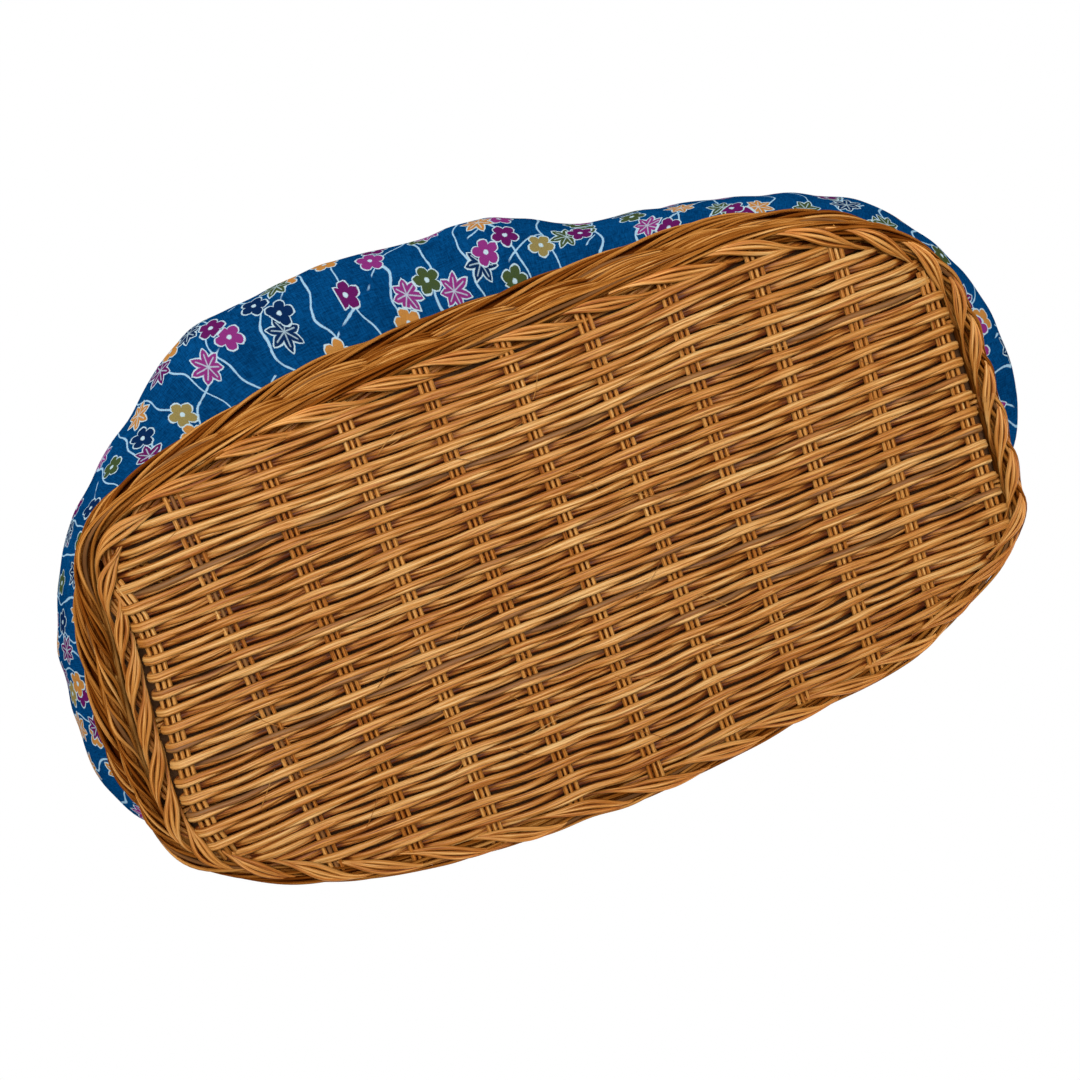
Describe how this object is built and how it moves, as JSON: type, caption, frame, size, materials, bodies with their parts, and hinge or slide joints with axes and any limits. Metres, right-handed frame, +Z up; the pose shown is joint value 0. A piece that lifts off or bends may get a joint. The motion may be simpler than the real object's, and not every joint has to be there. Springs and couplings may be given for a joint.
{
  "type": "basket bag",
  "caption": "Oval wicker basket with a puffed crepe cloth top, gathered on bars along its mouth that carry two arched bamboo handles.",
  "frame": {"origin": "middle of the base, on the surface that the bag stands on", "axes": "+Z up, +X along the bag, -Y is the front"},
  "size_m": [0.356, 0.203, 0.2671],
  "materials": {
    "wicker": "varnished round rattan strands, satin",
    "dark_wicker": "thin rattan rods side by side, satin",
    "bamboo": "bent bamboo with nodes, satin varnish",
    "crepe": "matt printed crepe",
    "cotton": "plain matt cotton"
  },
  "bodies": {
    "bag": {"base_weave": "wicker", "foot_wale": "wicker", "wall_weave": "wicker", "rim_border": "wicker", "cross_stake_01": "dark_wicker", "cross_stake_02": "dark_wicker", "cross_stake_03": "dark_wicker", "cross_stake_04": "dark_wicker", "cross_stake_05": "dark_wicker", "cross_stake_06": "dark_wicker", "cross_stake_07": "dark_wicker", "cross_stake_08": "dark_wicker", "cross_stake_09": "dark_wicker", "cross_stake_10": "dark_wicker", "cross_stake_11": "dark_wicker", "left_end_stake_1": "dark_wicker", "left_end_stake_2": "dark_wicker", "left_end_stake_3": "dark_wicker", "left_end_stake_4": "dark_wicker", "left_end_stake_5": "dark_wicker", "right_end_stake_1": "dark_wicker", "right_end_stake_2": "dark_wicker", "right_end_stake_3": "dark_wicker", "right_end_stake_4": "dark_wicker", "right_end_stake_5": "dark_wicker", "basket_lining": "cotton", "rim_tape": "cotton", "pouch_cloth": "crepe", "front_tunnel": "crepe", "front_handle_bar": "bamboo", "front_left_knob": "bamboo", "front_right_knob": "bamboo", "back_tunnel": "crepe", "back_handle_bar": "bamboo", "back_left_knob": "bamboo", "back_right_knob": "bamboo"},
    "front_handle": {"front_handle": "bamboo"},
    "back_handle": {"back_handle": "bamboo"}
  },
  "joints": [
    {"name": "front_handle_swing", "type": "hinge", "parent": "bag", "child": "front_handle", "pos_m": [0, -0.042, 0.1569], "axis": [1, 0, 0], "range_deg": [0, 120]},
    {"name": "back_handle_swing", "type": "hinge", "parent": "bag", "child": "back_handle", "pos_m": [0, 0.042, 0.1569], "axis": [-1, 0, 0], "range_deg": [0, 120]}
  ]
}
